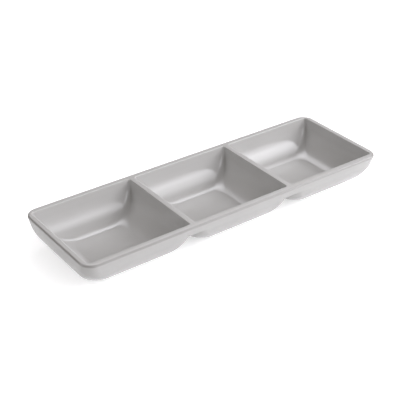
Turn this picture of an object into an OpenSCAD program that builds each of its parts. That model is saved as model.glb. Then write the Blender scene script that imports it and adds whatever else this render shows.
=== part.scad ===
// Divided serving bowl: three wells in a row under one continuous rim.
// Millimetres, +Z up. The origin is on the table, under the middle of the tray.
// X runs along the tray and Y across it, towards the back.

/* [Tray] */
// Length over the rim
tray_l = 380; // [340:5:420]
// Width over the rim
tray_w = 124; // [112:1:140]
// Height from the table to the top of the rim
tray_h = 38; // [36:0.5:44]
// Plan radius of the four outer corners at the rim
corner_r = 13; // [11:0.5:16]
// Lean of the long walls from the vertical, in degrees
wall_lean = 10.5; // [6:0.5:12]
// Outside inset of the end walls and the walls that face a neighbour, as a share of a long wall's
end_share = 0.82; // [0.7:0.02:1]
// How much an outer corner's radius grows for each millimetre down a wall
corner_growth = 0.2; // [0.05:0.05:0.3]

/* [Rim] */
// Width of the rim's two long sides
rim_w = 7; // [6:0.5:8]
// Width of the rim's two ends and of each divider
cross_w = 6; // [5:0.5:8]
// Height of the plain band below the rim, where the separate bowls begin
band_h = 10; // [8:0.5:12]
// Radius of the rim's outer edge
outer_edge = 2.2; // [1:0.1:3]
// Radius of the edge round each well
inner_edge = 1; // [0.6:0.1:2]

/* [Wells] */
// Distance between the centre lines of the two dividers
divider_pitch = 126.9; // [120:0.1:132]
// Depth of each well below the rim
well_d = 33.5; // [28:0.5:34]
// Radius of the curve from a well's wall to its floor
inner_curve = 26; // [14:0.5:27]
// Plan radius of a well's corners at the rim
well_corner_r = 2.5; // [2:0.5:5]
// How much a well's corner radius grows for each millimetre that its walls lean or curve inwards
well_corner_growth = 0.4; // [0.1:0.05:0.6]

/* [Underside] */
// Radius of the curve from the long outside wall to the base
outer_curve = 33; // [20:0.5:33]
// Height of the foot ring under each bowl
foot_h = 1; // [0.5:0.1:1.5]
// Width of each foot ring's face
foot_w = 4; // [3:0.5:6]
// Distance from the edge of a bowl's level base in to its foot ring
foot_inset = 1; // [0.5:0.5:3]

/* [Hidden] */

// Steps round one plan corner, along a floor or base curve, and round a rim edge
corner_steps = 9;
curve_steps = 11;
edge_steps = 4;

// The planes that two neighbouring bowls share, left and right of the middle
shared_x = divider_pitch / 2;
body_h = tray_h - foot_h;

// The outside wall leans in below the round edge, so its line passes this far
// outside the rim's own size at the level of the rim's top
lean_over = outer_edge * ((1 + sin(wall_lean)) / cos(wall_lean) - 1);

// A wall's inset at a depth below the rim's sharp edge
function wall_inset(depth) = depth * tan(wall_lean);

// How far a curve between the leaning wall and a level face reaches along each of them
function curve_reach(radius) = radius * tan((90 - wall_lean) / 2);

// The largest curve that still begins below the band, when the level face is full_depth down
function largest_curve(full_depth) = (full_depth - band_h) / curve_reach(1) / cos(wall_lean);

outer_r = min(outer_curve, largest_curve(body_h));
inner_r = min(inner_curve, largest_curve(well_d));

// Divider ends stop this far short of the wells' plan corners
divider_end_gap = 2;
divider_half_l = tray_w / 2 - rim_w - well_corner_r - divider_end_gap
    - (1 + well_corner_growth) * wall_inset(band_h);

body_colour = [0.74, 0.74, 0.73];
bowl_colour = [0.70, 0.70, 0.69];
divider_colour = [0.66, 0.66, 0.65];
foot_colour = [0.60, 0.60, 0.59];

// Every profile point is [inset, depth], and every profile runs from the rim down.
// Insets are counted from where a leaning wall's line meets the level of the rim's top.
// The joint between the band and the bowls lies on this point.
joint = [wall_inset(band_h), band_h];

// The curve that turns a wall level at full_depth
function base_curve(full_depth, radius) =
    let (centre = wall_inset(full_depth) + curve_reach(radius))
    [for (i = [0 : curve_steps])
        let (a = wall_lean + (90 - wall_lean) * i / curve_steps)
        [centre - radius * cos(a), full_depth - radius + radius * sin(a)]];

// The rim's outer edge, from its level top round its widest point to the outside wall
function outer_edge_run() =
    let (centre = outer_edge * (1 + sin(wall_lean)) / cos(wall_lean),
         angles = concat([for (i = [0 : edge_steps]) -90 + 90 * i / edge_steps], [wall_lean]))
    [for (a = angles) [centre - outer_edge * cos(a), outer_edge + outer_edge * sin(a)]];

// The edge of a well, from the level top round to the inside wall
function inner_edge_run() =
    let (centre = -inner_edge * (1 - sin(wall_lean)) / cos(wall_lean))
    [for (i = [0 : edge_steps])
        let (a = 90 - (90 - wall_lean) * i / edge_steps)
        [centre + inner_edge * cos(a), inner_edge - inner_edge * sin(a)]];

function reversed(list) = [for (i = [len(list) - 1 : -1 : 0]) list[i]];

// How far a profile's round edges stand out of the leaning wall's line
function stands_out(point) = max(0, wall_inset(point[1]) - point[0]);

// A plan corner's radius grows by as much as an edge stands out. An outer corner's also
// grows with depth, and a well's with the inset, so most of all where it curves to the floor.
function corner_radius(point) = corner_r + corner_growth * point[1] + stands_out(point);
function well_corner_radius(point) =
    well_corner_r + well_corner_growth * point[0] + stands_out(point);

// A closed ring of points: a rectangle with round corners, anticlockwise from above
function ring(x0, x1, y0, y1, radius, z) =
    [for (corner = [0 : 3], i = [0 : corner_steps])
        let (a = 90 * corner + 90 * i / corner_steps,
             cx = corner == 0 || corner == 3 ? x1 - radius : x0 + radius,
             cy = corner < 2 ? y1 - radius : y0 + radius)
        [cx + radius * cos(a), cy + radius * sin(a), z]];

// Each bowl's stretch of the tray, numbered 0 to 2 from the left
function bowl_from(k) = k == 0 ? -tray_l / 2 : (k == 1 ? -shared_x : shared_x);
function bowl_to(k) = -bowl_from(2 - k);

// The outside of a bowl. Towards a neighbour its wall reaches the shared plane at the joint.
function bowl_ring(k, point, drawn_in = 0) =
    let (x0 = bowl_from(k) + end_share * (point[0] - (k == 0 ? lean_over : joint[0])) + drawn_in,
         x1 = bowl_to(k) - end_share * (point[0] - (k == 2 ? lean_over : joint[0])) - drawn_in,
         y1 = tray_w / 2 + lean_over - point[0] - drawn_in,
         radius = corner_radius(point) - drawn_in)
    ring(x0, x1, -y1, y1, radius, tray_h - point[1]);

// The inside of a bowl
function well_ring(k, point, lift = 0) =
    let (x0 = bowl_from(k) + (k == 0 ? cross_w : cross_w / 2) + point[0],
         x1 = bowl_to(k) - (k == 2 ? cross_w : cross_w / 2) - point[0],
         y1 = tray_w / 2 - rim_w - point[0])
    ring(x0, x1, -y1, y1, well_corner_radius(point), tray_h - point[1] + lift);

// The outside of the band
function band_ring(point) =
    let (x1 = tray_l / 2 + end_share * (lean_over - point[0]),
         y1 = tray_w / 2 + lean_over - point[0])
    ring(-x1, x1, -y1, y1, corner_radius(point), tray_h - point[1]);

// A closed solid through a list of rings. The first is its underside.
module loft(rings) {
    n = len(rings[0]);
    last = len(rings) - 1;
    sides = [for (j = [0 : last - 1], i = [0 : n - 1])
        let (a = j * n + i,
             b = j * n + (i + 1) % n)
        each [[a, b + n, b], [a, a + n, b + n]]];
    underside = [[for (i = [0 : n - 1]) i]];
    upper_end = [[for (i = [n - 1 : -1 : 0]) last * n + i]];
    polyhedron(points = [for (r = rings) each r],
               faces = concat(sides, underside, upper_end), convexity = 6);
}

// The space inside one well, carried on above the rim
module well(k) {
    edge = inner_edge_run();
    profile = reversed(concat(edge, base_curve(well_d, inner_r)));
    loft(concat([for (p = profile) well_ring(k, p)], [well_ring(k, edge[0], band_h)]));
}

// The band under the rim, before the wells and the dividers are taken out
module band() {
    loft([for (p = reversed(concat(outer_edge_run(), [joint]))) band_ring(p)]);
}

// The stretch of the band that a divider fills
module divider_gap(x) {
    half_w = cross_w + joint[0];
    translate([x - half_w, -divider_half_l, tray_h - 2 * band_h])
        cube([2 * half_w, 2 * divider_half_l, 3 * band_h]);
}

module rim() {
    color(body_colour)
    difference() {
        band();
        for (k = [0 : 2]) well(k);
        for (side = [-1, 1]) divider_gap(side * shared_x);
    }
}

// A ridge between two wells: level on top, with round edges and leaning sides
module divider(x) {
    right = [for (p = concat(inner_edge_run(), [joint])) [cross_w / 2 + p[0], -p[1]]];
    left = [for (p = reversed(right)) [-p[0], p[1]]];
    color(divider_colour)
    translate([x, divider_half_l, tray_h])
        rotate([90, 0, 0])
        linear_extrude(2 * divider_half_l)
        polygon(concat(right, left));
}

module left_divider() divider(-shared_x);
module right_divider() divider(shared_x);

// A bowl's shell: up its outside from the base, over the joint, and down into the well
module bowl(k) {
    outside = reversed(concat([joint], base_curve(body_h, outer_r)));
    inside = concat([joint], base_curve(well_d, inner_r));
    color(bowl_colour)
    loft(concat([for (p = outside) bowl_ring(k, p)],
                [for (p = inside) well_ring(k, p)]));
}

module left_bowl() bowl(0);
module middle_bowl() bowl(1);
module right_bowl() bowl(2);

// The outline of a bowl's level base, drawn in by a distance
module base_outline(k, drawn_in) {
    base = base_curve(body_h, outer_r)[curve_steps];
    polygon([for (p = bowl_ring(k, base, drawn_in)) [p[0], p[1]]]);
}

// The raised ring that a bowl stands on
module foot_ring(k) {
    color(foot_colour)
    linear_extrude(foot_h)
    difference() {
        base_outline(k, foot_inset);
        base_outline(k, foot_inset + foot_w);
    }
}

module left_foot_ring() foot_ring(0);
module middle_foot_ring() foot_ring(1);
module right_foot_ring() foot_ring(2);

rim();
left_divider();
right_divider();
left_bowl();
middle_bowl();
right_bowl();
left_foot_ring();
middle_foot_ring();
right_foot_ring();
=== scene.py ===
import math

import bmesh
import bpy
import numpy as np
from mathutils import Matrix, Vector


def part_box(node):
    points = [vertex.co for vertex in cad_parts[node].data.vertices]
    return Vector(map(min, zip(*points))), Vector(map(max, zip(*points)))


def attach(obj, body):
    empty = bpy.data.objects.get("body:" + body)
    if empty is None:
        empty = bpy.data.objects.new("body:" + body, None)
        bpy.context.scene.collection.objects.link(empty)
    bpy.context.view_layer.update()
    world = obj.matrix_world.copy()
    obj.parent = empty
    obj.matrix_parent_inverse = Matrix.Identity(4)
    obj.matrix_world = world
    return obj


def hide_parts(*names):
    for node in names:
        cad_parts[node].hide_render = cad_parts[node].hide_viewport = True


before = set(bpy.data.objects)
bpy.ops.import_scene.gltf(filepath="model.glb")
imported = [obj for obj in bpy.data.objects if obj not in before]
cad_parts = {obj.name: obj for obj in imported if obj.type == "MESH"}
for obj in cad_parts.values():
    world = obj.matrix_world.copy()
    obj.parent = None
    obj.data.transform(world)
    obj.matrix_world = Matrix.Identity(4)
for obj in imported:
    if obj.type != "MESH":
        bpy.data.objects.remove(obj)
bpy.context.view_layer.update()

MM = 0.001

# The camera stands where the photograph was taken from, worked out from the tray's straight edges.
# Its bearing is counted from the tray's front, and its height is the angle that it looks down at.
CAMERA_PLACE = Vector((-544.73, -706.24, 557.37)) * MM
CAMERA_BEARING = math.radians(-36.949)
CAMERA_HEIGHT = math.radians(31.311)
CAMERA_ROLL = math.radians(0.612)
CAMERA_LENS = 87.37
CAMERA_SENSOR = 36.0

# The tray's own sizes, as the construction has them
WALL_LEAN = math.radians(10.5)
END_SHARE = 0.82
CORNER_R = 13 * MM
CORNER_GROWTH = 0.2
RIM_W = 7 * MM
CROSS_W = 6 * MM
OUTER_EDGE = 2.2 * MM
INNER_EDGE = 1 * MM
WELL_D = 33.5 * MM
INNER_CURVE = 26 * MM
WELL_CORNER_R = 2.5 * MM
WELL_CORNER_GROWTH = 0.4
OUTER_CURVE = 33 * MM
FOOT_W = 4 * MM
FOOT_INSET = 1 * MM

# Sizes that the frame gives
RIM_LOW, RIM_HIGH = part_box("rim")
TOP_Z = RIM_HIGH.z
BAND_H = RIM_HIGH.z - RIM_LOW.z
HALF_L = RIM_HIGH.x
HALF_W = RIM_HIGH.y
DIVIDER_LOW, DIVIDER_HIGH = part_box("right_divider")
SHARED_X = (DIVIDER_LOW.x + DIVIDER_HIGH.x) / 2
DIVIDER_HALF_L = DIVIDER_HIGH.y
FOOT_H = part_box("middle_foot_ring")[1].z
BASE_D = TOP_Z - FOOT_H

# Steps round one plan corner, along a large curve, round a small edge and across a floor
CORNER_STEPS = 16
CURVE_STEPS = 28
EDGE_STEPS = 10
FLOOR_STEPS = 12

# A row this close to a curve's end keeps the shading of the flat beside it true
KEEP_FLAT = 0.2 * MM

# Points this close together are one point, and an edge where faces turn by more than this is sharp
MERGE = 0.001 * MM
SHARP_ANGLE = math.radians(30)

# Where the band passes a groove between two bowls, its lower edge is rounded. The zone of
# closer columns for that reaches this far to each side, a little past the bowls' corners.
GROOVE_EDGE = 1.3 * MM
GROOVE_ZONE = 17 * MM
GROOVE_STEPS = 6

# The round lower edges of a foot ring, and how far a well's floor dips in its middle
FOOT_EDGE = 0.5 * MM
FLOOR_DIP = 0.3 * MM

# A well's curve turns its last few degrees tightly, which draws a bright line round the floor
FLOOR_EDGE_TURN = math.radians(6)
FLOOR_EDGE_R = 8 * MM


def facing(bearing, height, roll):
    """The turn of a camera or lamp, which looks down its own -Z, so that its Z axis is the
    direction back to it. Roll turns it round that axis, anticlockwise as the axis comes at you."""
    back = Vector((math.sin(bearing) * math.cos(height), -math.cos(bearing) * math.cos(height),
                   math.sin(height)))
    level = Vector((math.cos(bearing), math.sin(bearing), 0))
    upright = back.cross(level)
    right = math.cos(roll) * level + math.sin(roll) * upright
    up = math.cos(roll) * upright - math.sin(roll) * level
    return Matrix((right, up, back)).transposed().to_4x4()


def photo_camera():
    """The photograph's view."""
    camera = bpy.data.objects.new("camera", bpy.data.cameras.new("camera"))
    camera.data.lens = CAMERA_LENS
    camera.data.sensor_width = CAMERA_SENSOR
    camera.matrix_world = (Matrix.Translation(CAMERA_PLACE)
                           @ facing(CAMERA_BEARING, CAMERA_HEIGHT, CAMERA_ROLL))
    bpy.context.scene.collection.objects.link(camera)
    bpy.context.scene.camera = camera


photo_camera()


# Profiles. Each point is (inset, depth) below the level of the rim's top. Insets are counted
# from where the leaning wall's line meets that level. Outside, an end wall or one that faces a
# neighbour has END_SHARE of a long wall's inset.

def wall_inset(depth):
    """A wall leans in by depth times the tangent of its lean."""
    return depth * math.tan(WALL_LEAN)


def curve_reach(radius):
    """How far a curve between the leaning wall and a level face reaches along each of them."""
    return radius * math.tan((math.pi / 2 - WALL_LEAN) / 2)


def largest_curve(full_depth):
    """The largest curve that still begins below the band."""
    return (full_depth - BAND_H) / curve_reach(1) / math.cos(WALL_LEAN)


# How far outside the rim's own size the leaning wall's line meets the level of its top
LEAN_OVER = OUTER_EDGE * ((1 + math.sin(WALL_LEAN)) / math.cos(WALL_LEAN) - 1)

# The joint between the band and the bowls, and the small step up a leaning wall that keeps it flat
JOINT = np.array([wall_inset(BAND_H), BAND_H])
UP_WALL = -KEEP_FLAT * np.array([math.sin(WALL_LEAN), math.cos(WALL_LEAN)])

OUTER_R = min(OUTER_CURVE, largest_curve(BASE_D))
INNER_R = min(INNER_CURVE, largest_curve(WELL_D))


def arc(centre, radius, start, end, steps):
    """Points centre + radius * (cos, sin) at even angles from start to end."""
    angle = np.linspace(start, end, steps + 1)
    return np.array(centre) + radius * np.column_stack([np.cos(angle), np.sin(angle)])


def base_curve(full_depth, radius):
    """The arc, tangent to both, that turns a leaning wall level at full_depth."""
    centre = (wall_inset(full_depth) + curve_reach(radius), full_depth - radius)
    return arc(centre, radius, math.pi - WALL_LEAN, math.pi / 2, CURVE_STEPS)


def well_curve():
    """A well's curve reaches the floor where one arc of INNER_R would, but it turns the last few
    degrees tightly. Its wide arc's radius follows from meeting both the tight arc and the wall."""
    floor_edge = wall_inset(WELL_D) + curve_reach(INNER_R)
    turn = FLOOR_EDGE_TURN
    meeting = (floor_edge - FLOOR_EDGE_R * math.sin(turn), WELL_D - FLOOR_EDGE_R * (1 - math.cos(turn)))
    radius = ((meeting[0] - wall_inset(meeting[1]))
              / (1 / math.cos(WALL_LEAN) - math.sin(turn) - math.tan(WALL_LEAN) * math.cos(turn)))
    wide_centre = (meeting[0] + radius * math.sin(turn), meeting[1] - radius * math.cos(turn))
    wide = arc(wide_centre, radius, math.pi - WALL_LEAN, math.pi / 2 + turn, CURVE_STEPS)
    tight = arc((floor_edge, WELL_D - FLOOR_EDGE_R), FLOOR_EDGE_R, math.pi / 2 + turn, math.pi / 2,
                EDGE_STEPS)
    return np.vstack([wide[:-1], tight])


def outer_edge():
    """The arc from the outside wall up to the level top."""
    centre = (OUTER_EDGE * (1 + math.sin(WALL_LEAN)) / math.cos(WALL_LEAN), OUTER_EDGE)
    return arc(centre, OUTER_EDGE, math.pi - WALL_LEAN, 1.5 * math.pi, EDGE_STEPS)


def inner_edge():
    """The arc from the level top down to a well's wall."""
    centre = (-INNER_EDGE * (1 - math.sin(WALL_LEAN)) / math.cos(WALL_LEAN), INNER_EDGE)
    return arc(centre, INNER_EDGE, -math.pi / 2, -WALL_LEAN, EDGE_STEPS)


def stands_out(profile):
    """How far a profile's round edges stand out of the leaning wall's line."""
    return np.maximum(0, wall_inset(profile[:, 1]) - profile[:, 0])


def corner_radius(profile):
    """An outer corner's radius grows with depth, and by as much as an edge stands out."""
    return CORNER_R + CORNER_GROWTH * profile[:, 1] + stands_out(profile)


def well_corner_radius(profile):
    """A well's corner grows with the walls' inset, so most of all where they curve to the floor."""
    return WELL_CORNER_R + WELL_CORNER_GROWTH * profile[:, 0] + stands_out(profile)


# Outlines. A ring is a rectangle with round corners, anticlockwise from above. A grid has one
# ring for each profile point as its row.

def corner_columns(corner, left, right, half_w, radius):
    """One corner of every row: its centre plus radius * (cos, sin) over a quarter turn."""
    angle = corner * math.pi / 2 + np.linspace(0, math.pi / 2, CORNER_STEPS + 1)
    centre_x = right - radius if corner in (0, 3) else left + radius
    centre_y = half_w - radius if corner in (0, 1) else radius - half_w
    return np.stack([centre_x[:, None] + radius[:, None] * np.cos(angle),
                     centre_y[:, None] + radius[:, None] * np.sin(angle)], axis=-1)


def ring(left, right, half_w, radius):
    """Four corners, joined by the straight sides between them."""
    return np.concatenate([corner_columns(c, left, right, half_w, radius) for c in range(4)], axis=1)


def at_depth(plan, depth):
    """Gives each point of a plan its height, from one depth for each row or for each point."""
    depth = depth.reshape(len(depth), -1)
    z = np.broadcast_to(TOP_Z - depth, plan.shape[:2])
    return np.concatenate([plan, z[..., None]], axis=-1)


def stretch(k):
    """Where bowl k, 0 to 2 from the left, begins and ends along the tray."""
    ends = (-HALF_L, -SHARED_X, SHARED_X, HALF_L)
    return ends[k], ends[k + 1]


def well_sides(k, profile):
    """Left, right and half width of well k at each profile point."""
    start, end = stretch(k)
    inset = profile[:, 0]
    left = start + (CROSS_W if k == 0 else CROSS_W / 2) + inset
    right = end - (CROSS_W if k == 2 else CROSS_W / 2) - inset
    return left, right, HALF_W - RIM_W - inset


def well_rings(k, profile):
    """The inside of well k."""
    plan = ring(*well_sides(k, profile), well_corner_radius(profile))
    return at_depth(plan, profile[:, 1])


def bowl_plan(k, profile, drawn_in=0.0):
    """The outside of bowl k. Towards a neighbour its wall reaches the shared plane at the joint."""
    start, end = stretch(k)
    inset = profile[:, 0]
    left = start + END_SHARE * (inset - (LEAN_OVER if k == 0 else JOINT[0])) + drawn_in
    right = end - END_SHARE * (inset - (LEAN_OVER if k == 2 else JOINT[0])) - drawn_in
    half_w = HALF_W + LEAN_OVER - inset - drawn_in
    return ring(left, right, half_w, corner_radius(profile) - drawn_in)


# Pieces

# The mesh attribute that marks the rim's outer edge, where the mould's flash was cut off: the material
# makes that edge duller, and paints it darker as painted shade
TRIM_AND_PAINTED_SHADE = "trim_and_painted_shade"


def grid_piece(name, points, wrap_rows=False, trim_and_painted_shade=None):
    """A closed mesh through a grid of points, rows by columns, whose columns close on themselves.
    The rows close too, or else the first and last row are each filled with one face. Rows that fall
    together are merged. Edges over SHARP_ANGLE stay sharp, and the rest are smooth. The edge mark gives
    each row a share, from 0 to 1, of the cut edge's duller finish and of the darker colour painted there
    as shade."""
    rows, columns = points.shape[:2]
    index = np.arange(rows * columns).reshape(rows, columns)
    here = index if wrap_rows else index[:-1]
    above = np.roll(index, -1, axis=0)[:len(here)]
    faces = np.stack([here, np.roll(here, -1, axis=1), np.roll(above, -1, axis=1), above], axis=-1)
    faces = faces.reshape(-1, 4).tolist()
    if not wrap_rows:
        faces += [index[0][::-1].tolist(), index[-1].tolist()]
    mesh = bpy.data.meshes.new(name)
    mesh.from_pydata(points.reshape(-1, 3), [], faces)
    if trim_and_painted_shade is not None:
        mark = mesh.attributes.new(TRIM_AND_PAINTED_SHADE, "FLOAT", "POINT")
        mark.data.foreach_set("value", np.repeat(trim_and_painted_shade, columns))
    cleaner = bmesh.new()
    cleaner.from_mesh(mesh)
    bmesh.ops.remove_doubles(cleaner, verts=cleaner.verts, dist=MERGE)
    cleaner.to_mesh(mesh)
    cleaner.free()
    mesh.shade_smooth()
    mesh.set_sharp_from_angle(angle=SHARP_ANGLE)
    piece = bpy.data.objects.new(name, mesh)
    bpy.context.scene.collection.objects.link(piece)
    return piece


def well_wall():
    """The top of a well's wall: off the level top, round the edge, and straight down to the joint."""
    edge = inner_edge()
    return np.vstack([edge[0] - [KEEP_FLAT, 0], edge, edge[-1] - UP_WALL, JOINT])


def groove_edge_radius(across):
    """The band's lower edge is round where the bowls' corners draw back from it. The radius
    starts as that gap, which grows as a circle leaves its tangent, and settles at GROOVE_EDGE."""
    corner = CORNER_R + CORNER_GROWTH * BAND_H
    from_tangent = np.clip(corner - np.abs(across), 0, corner)
    gap = corner - np.sqrt(corner ** 2 - from_tangent ** 2)
    return GROOVE_EDGE * gap / (gap + GROOVE_EDGE)


def band_wall(lower_radius):
    """The outside of the band, from its lower edge up to the level top, for columns whose lower
    edges have these radii. Where the radius is nothing, the lower edge's rows meet at the joint."""
    angle = np.linspace(math.pi / 2, math.pi - WALL_LEAN, GROOVE_STEPS + 1)[:, None]
    lower = np.stack([JOINT[0] + curve_reach(lower_radius) + lower_radius * np.cos(angle),
                      BAND_H - lower_radius + lower_radius * np.sin(angle)], axis=-1)
    edge = outer_edge()
    upper = np.vstack([edge[0] - UP_WALL, edge, edge[-1] + [KEEP_FLAT, 0]])
    upper = np.broadcast_to(upper[:, None], (len(upper), len(lower_radius), 2))
    return np.concatenate([lower, lower[-1:] + UP_WALL, upper])


def band_outside():
    """The outside of the band as columns round the tray from its right front corner: the corners,
    and at each divider's end a zone of as many steps as the inside has there. The distance from
    the divider is a share to the power of 1.5, so the faces of the level top don't fold over."""
    plain = band_wall(np.zeros(1))[:, 0]
    half_l = HALF_L + END_SHARE * (LEAN_OVER - plain[:, 0])
    half_w = HALF_W + LEAN_OVER - plain[:, 0]
    radius = corner_radius(plain)
    corners = [at_depth(corner_columns(c, -half_l, half_l, half_w, radius), plain[:, 1])
               for c in range(4)]

    def zone(middle, side):
        share = np.linspace(side, -side, 2 * CORNER_STEPS + 4)
        across = GROOVE_ZONE * share * np.sqrt(np.abs(share))
        profile = band_wall(groove_edge_radius(across))
        x = np.broadcast_to(middle + across, profile.shape[:2])
        y = side * (HALF_W + LEAN_OVER - profile[..., 0])
        return at_depth(np.stack([x, y], axis=-1), profile[..., 1])

    return np.concatenate([corners[3], corners[0], zone(SHARED_X, 1), zone(-SHARED_X, 1),
                           corners[1], corners[2], zone(-SHARED_X, -1), zone(SHARED_X, -1)], axis=1)


def band_inside():
    """The insides of the three wells as one line round the tray, in step with band_outside.
    At each divider's end the line crosses from one well to the next along a flat cut."""
    profile = well_wall()
    radius = well_corner_radius(profile)
    sides = [well_sides(k, profile) for k in range(3)]

    def corner(k, c):
        return corner_columns(c, *sides[k], radius)

    def cut(k, to_right, side):
        x = sides[k][to_right]
        return np.stack([x, np.full_like(x, side * DIVIDER_HALF_L)], axis=-1)[:, None]

    plan = np.concatenate([
        corner(2, 3), corner(2, 0), corner(2, 1), cut(2, 0, 1), cut(1, 1, 1),
        corner(1, 0), corner(1, 1), cut(1, 0, 1), cut(0, 1, 1),
        corner(0, 0), corner(0, 1), corner(0, 2), corner(0, 3), cut(0, 1, -1), cut(1, 0, -1),
        corner(1, 2), corner(1, 3), cut(1, 1, -1), cut(2, 0, -1), corner(2, 2)], axis=1)
    return at_depth(plan, profile[:, 1])


def rim(name):
    """One profile carried round the tray: up the outside, over the level top, down the inside, and back
    along the joint. The mould closes on its outer edge, where the flash was cut off. That arc is marked
    for the material, which makes it duller and paints it darker as painted shade: most in the middle of
    the arc, and less towards both ends as the sine of half a turn. The arc's rows follow the lower
    edge's rows and the two that keep the straight wall flat."""
    points = np.concatenate([band_outside(), band_inside()])
    # This mark gives the outer edge its duller finish and the darker colour that is painted there as
    # shade.
    trim_and_painted_shade = np.zeros(len(points))
    rows_below_edge = GROOVE_STEPS + 3
    edge_rows = slice(rows_below_edge, rows_below_edge + EDGE_STEPS + 1)
    trim_and_painted_shade[edge_rows] = np.sin(np.linspace(0, math.pi, EDGE_STEPS + 1))
    return grid_piece(name, points, wrap_rows=True, trim_and_painted_shade=trim_and_painted_shade)


def divider(name, x):
    """One closed outline, a well's wall on the right and its mirror image on the left, drawn from
    the divider's front end to its back. The outline's points are (x from the middle, z)."""
    right = well_wall() * [1, -1] + [CROSS_W / 2, TOP_Z]
    outline = np.vstack([right, right[::-1] * [-1, 1]])
    across, z = outline.T
    front = np.column_stack([x + across, np.full_like(z, -DIVIDER_HALF_L), z])
    return grid_piece(name, np.stack([front, front * [1, -1, 1]]))


def floor_rings(edge):
    """A floor's rows draw in evenly from its edge to its middle, and dip by a bell-shaped curve."""
    share = np.linspace(1, 0, FLOOR_STEPS + 1)[1:, None, None]
    middle = (edge.min(axis=0) + edge.max(axis=0)) / 2
    rows = middle + share * (edge - middle)
    rows[..., 2] -= FLOOR_DIP * ((1 - share ** 2) ** 2)[..., 0]
    return rows


def bowl(name, k):
    """A bowl's shell: from its base up the outside, over the joint, down the inside to the floor."""
    base = base_curve(BASE_D, OUTER_R)
    outside = np.vstack([JOINT, base, base[-1] + [KEEP_FLAT, 0]])[::-1]
    floor = well_curve()
    inside = well_rings(k, np.vstack([JOINT, floor[0] + UP_WALL, floor]))
    outside = at_depth(bowl_plan(k, outside), outside[:, 1])
    return grid_piece(name, np.concatenate([outside, inside, floor_rings(inside[-1])]))


def foot_ring(name, k):
    """A flat ring with round lower edges, carried round the outline of the bowl's base. The
    section's points are (distance in from the ring's outline, height above the table)."""
    half = np.vstack([[0, FOOT_H],
                      arc((FOOT_EDGE, FOOT_EDGE), FOOT_EDGE, math.pi, 1.5 * math.pi, EDGE_STEPS)])
    section = np.vstack([half * [-1, 1] + [FOOT_W, 0], half[::-1]])
    base = np.broadcast_to(base_curve(BASE_D, OUTER_R)[-1], section.shape)
    plan = bowl_plan(k, base, FOOT_INSET + section[:, 0])
    return grid_piece(name, at_depth(plan, TOP_Z - section[:, 1]), wrap_rows=True)


# Materials

def colour(hex_code):
    """An sRGB hex colour as linear RGBA."""
    srgb = np.array([int(hex_code[i:i + 2], 16) for i in (1, 3, 5)]) / 255
    linear = np.where(srgb <= 0.04045, srgb / 12.92, ((srgb + 0.055) / 1.055) ** 2.4)
    return (*linear, 1.0)


def add_node(tree, kind, inputs=None, **settings):
    """A node with these settings, and with these inputs set to a value or linked to an output."""
    node = tree.nodes.new(kind)
    for name, value in settings.items():
        setattr(node, name, value)
    for name, value in (inputs or {}).items():
        if isinstance(value, bpy.types.NodeSocket):
            tree.links.new(value, node.inputs[name])
        else:
            node.inputs[name].default_value = value
    return node


def bare_material(name):
    """A material with an empty tree."""
    material = bpy.data.materials.new(name)
    material.use_nodes = True
    material.node_tree.nodes.clear()
    return material


MELAMINE_IOR = 1.58


def compression_moulded_melamine():
    """Melamine resin pressed in a polished steel mould: an opaque, even grey under a hard gloss like
    glazed china. The flow of the moulding powder leaves faint clouds, and the surface a slight
    unevenness, seen only in reflections. Where the flash was cut off the rim's outer edge and polished
    by hand, the skin is gone and the edge is duller; that edge is also painted darker, as painted shade."""
    material = bare_material("compression_moulded_melamine")
    tree = material.node_tree
    place = add_node(tree, "ShaderNodeTexCoord").outputs["Object"]
    clouds = add_node(tree, "ShaderNodeTexNoise",
                      {"Vector": place, "Scale": 1 / (35 * MM), "Detail": 3, "Roughness": 0.55})
    skin = add_node(tree, "ShaderNodeMix",
                    {"Factor": clouds.outputs["Fac"], "A": colour("#AAA9A7"), "B": colour("#B0AFAD")},
                    data_type="RGBA")
    # The rim's outer edge is painted darker here with #8B8986, as painted shade along that edge; the
    # same mark also makes it duller below.
    trim_and_painted_shade = add_node(tree, "ShaderNodeAttribute", attribute_name=TRIM_AND_PAINTED_SHADE).outputs["Fac"]
    body = add_node(tree, "ShaderNodeMix",
                    {"Factor": trim_and_painted_shade, "A": skin.outputs["Result"], "B": colour("#8B8986")},
                    data_type="RGBA")
    polish = add_node(tree, "ShaderNodeTexNoise",
                      {"Vector": place, "Scale": 1 / (12 * MM), "Detail": 4})
    gloss = add_node(tree, "ShaderNodeMapRange",
                     {"Value": polish.outputs["Fac"], "To Min": 0.06, "To Max": 0.1})
    roughness = add_node(tree, "ShaderNodeMix",
                         {"Factor": trim_and_painted_shade, "A": gloss.outputs["Result"], "B": 0.25})
    ripple = add_node(tree, "ShaderNodeTexNoise",
                      {"Vector": place, "Scale": 1 / (3 * MM), "Detail": 1})
    surface = add_node(tree, "ShaderNodeBump",
                       {"Height": ripple.outputs["Fac"], "Strength": 1.0, "Distance": 0.006 * MM})
    shader = add_node(tree, "ShaderNodeBsdfPrincipled",
                      {"Base Color": body.outputs["Result"], "Roughness": roughness.outputs["Result"],
                       "Normal": surface.outputs["Normal"], "IOR": MELAMINE_IOR})
    add_node(tree, "ShaderNodeOutputMaterial", {"Surface": shader.outputs["BSDF"]})
    return material


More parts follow.
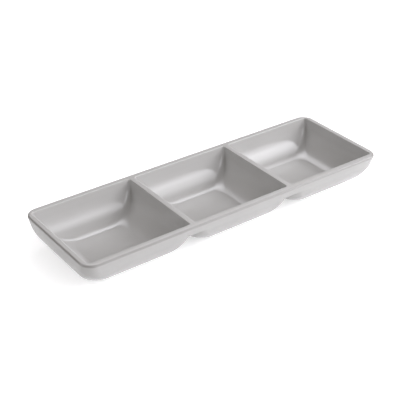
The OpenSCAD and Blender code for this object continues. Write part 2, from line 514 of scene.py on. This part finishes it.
def table_rubbed_melamine():
    """The same melamine where it stands: sliding on a table has rubbed the gloss to a satin with
    short scratches."""
    material = bare_material("table_rubbed_melamine")
    tree = material.node_tree
    place = add_node(tree, "ShaderNodeTexCoord").outputs["Object"]
    streaks = add_node(tree, "ShaderNodeMapping", {"Vector": place, "Scale": (1.0, 9.0, 1.0)})
    scratches = add_node(tree, "ShaderNodeTexNoise",
                         {"Vector": streaks.outputs["Vector"], "Scale": 1 / (4 * MM), "Detail": 5})
    body = add_node(tree, "ShaderNodeMix",
                    {"Factor": scratches.outputs["Fac"], "A": colour("#AFAEAC"), "B": colour("#BCBBB9")},
                    data_type="RGBA")
    roughness = add_node(tree, "ShaderNodeMapRange",
                         {"Value": scratches.outputs["Fac"], "To Min": 0.4, "To Max": 0.6})
    surface = add_node(tree, "ShaderNodeBump",
                       {"Height": scratches.outputs["Fac"], "Distance": 0.02 * MM})
    shader = add_node(tree, "ShaderNodeBsdfPrincipled",
                      {"Base Color": body.outputs["Result"], "Roughness": roughness.outputs["Result"],
                       "Normal": surface.outputs["Normal"], "IOR": MELAMINE_IOR})
    add_node(tree, "ShaderNodeOutputMaterial", {"Surface": shader.outputs["BSDF"]})
    return material


GLOSSY = compression_moulded_melamine()
RUBBED = table_rubbed_melamine()


def finish_piece(piece, node, material):
    """Gives a piece its material and puts it in the place of its node of the frame."""
    piece.data.materials.append(material)
    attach(piece, "root")
    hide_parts(node)


finish_piece(rim("tray_rim"), "rim", GLOSSY)
for side, x in (("left", -SHARED_X), ("right", SHARED_X)):
    finish_piece(divider(f"tray_{side}_divider", x), f"{side}_divider", GLOSSY)
for k, place in enumerate(("left", "middle", "right")):
    finish_piece(bowl(f"tray_{place}_bowl", k), f"{place}_bowl", GLOSSY)
    finish_piece(foot_ring(f"tray_{place}_foot_ring", k), f"{place}_foot_ring", RUBBED)


# Studio. Distances and sizes are in metres, and a brightness or a lift of 1 is white.

LAMP_COLOUR = "#FAFAFF"
TABLE_HALF = 20
TABLE_LIFT = 0.55


def white_table():
    """A plain white floor. The camera and reflections see a little extra white, which leaves
    the tray's shadow on it."""
    material = bare_material("white_table")
    tree = material.node_tree
    path = add_node(tree, "ShaderNodeLightPath")
    seen = add_node(tree, "ShaderNodeMath", {0: path.outputs["Is Camera Ray"],
                                             1: path.outputs["Is Glossy Ray"]}, operation="MAXIMUM")
    seen = add_node(tree, "ShaderNodeMath", {0: seen.outputs[0],
                                             1: path.outputs["Is Transmission Ray"]},
                    operation="MAXIMUM")
    lift = add_node(tree, "ShaderNodeMath", {0: seen.outputs[0], 1: TABLE_LIFT},
                    operation="MULTIPLY")
    paper = add_node(tree, "ShaderNodeBsdfDiffuse", {"Color": colour("#E2E2E2")})
    glow = add_node(tree, "ShaderNodeEmission", {"Strength": lift.outputs[0]})
    both = add_node(tree, "ShaderNodeAddShader", {0: paper.outputs[0], 1: glow.outputs[0]})
    add_node(tree, "ShaderNodeOutputMaterial", {"Surface": both.outputs[0]})
    half = TABLE_HALF
    mesh = bpy.data.meshes.new("table")
    mesh.from_pydata([(-half, -half, 0), (half, -half, 0), (half, half, 0), (-half, half, 0)],
                     [], [(0, 1, 2, 3)])
    mesh.materials.append(material)
    floor = bpy.data.objects.new("table", mesh)
    bpy.context.scene.collection.objects.link(floor)


def studio_world(strength):
    """Plain light from every side."""
    world = bpy.data.worlds.new("studio")
    world.use_nodes = True
    tree = world.node_tree
    tree.nodes.clear()
    light = add_node(tree, "ShaderNodeBackground", {"Color": colour("#FFF6EC"), "Strength": strength})
    add_node(tree, "ShaderNodeOutputWorld", {"Surface": light.outputs[0]})
    bpy.context.scene.world = world


def softbox(name, bearing, height, distance, width, tall, brightness, soft=(1, 1), roll=0):
    """A diffuser panel that faces the tray. The angles are in degrees, and bearing 0 is in front
    of the tray and 90 to its right. The panel has its full brightness in its middle, and fades by
    a smooth step over the outer share of its half width and half height that soft gives."""
    light = bpy.data.lights.new(name, "AREA")
    light.shape = "RECTANGLE"
    light.size = width
    light.size_y = tall
    light.energy = brightness * math.pi * width * tall
    light.color = colour(LAMP_COLOUR)[:3]
    light.use_nodes = True
    tree = light.node_tree
    tree.nodes.clear()
    spot = add_node(tree, "ShaderNodeNewGeometry").outputs["Parametric"]
    across = add_node(tree, "ShaderNodeSeparateXYZ", {"Vector": spot})
    fades = []
    for axis, share in zip("XY", soft):
        from_edge = add_node(tree, "ShaderNodeMath", {0: across.outputs[axis], 1: 0.5},
                             operation="PINGPONG")
        fades.append(add_node(tree, "ShaderNodeMapRange",
                              {"Value": from_edge.outputs[0], "From Max": share / 2},
                              interpolation_type="SMOOTHSTEP"))
    both = add_node(tree, "ShaderNodeMath", {0: fades[0].outputs[0], 1: fades[1].outputs[0]},
                    operation="MULTIPLY")
    glow = add_node(tree, "ShaderNodeEmission", {"Strength": both.outputs[0]})
    add_node(tree, "ShaderNodeOutputLight", {"Surface": glow.outputs[0]})
    lamp = bpy.data.objects.new(name, light)
    turn = facing(math.radians(bearing), math.radians(height), math.radians(roll))
    lamp.matrix_world = turn @ Matrix.Translation((0, 0, distance))
    lamp.visible_camera = False
    bpy.context.scene.collection.objects.link(lamp)


white_table()
studio_world(0.2)
softbox("right_window", 68, 34, 2.6, 3.6, 2.85, 6.9, roll=-11)
softbox("low_right_window", 52, 24, 2.0, 2.6, 1.25, 1.9, soft=(0.6, 0.6), roll=18)
softbox("near_window", 35, 30, 1.2, 0.8, 0.8, 1.6)
softbox("front_window", 4, 38, 3.0, 4.3, 2.5, 5.1, roll=22)
softbox("low_front_window", 0, 14, 3.0, 3.0, 1.2, 4.4)
softbox("back_window", 141, 49, 3.0, 2.9, 1.8, 4.7, roll=37)
softbox("low_back_window", 141, 11, 3.0, 2.6, 1.3, 4.0)
softbox("back_left_strip", 242, 32, 3.0, 0.65, 2.1, 10.5, soft=(0.5, 0.5), roll=24)

bpy.context.scene.view_settings.view_transform = "Standard"
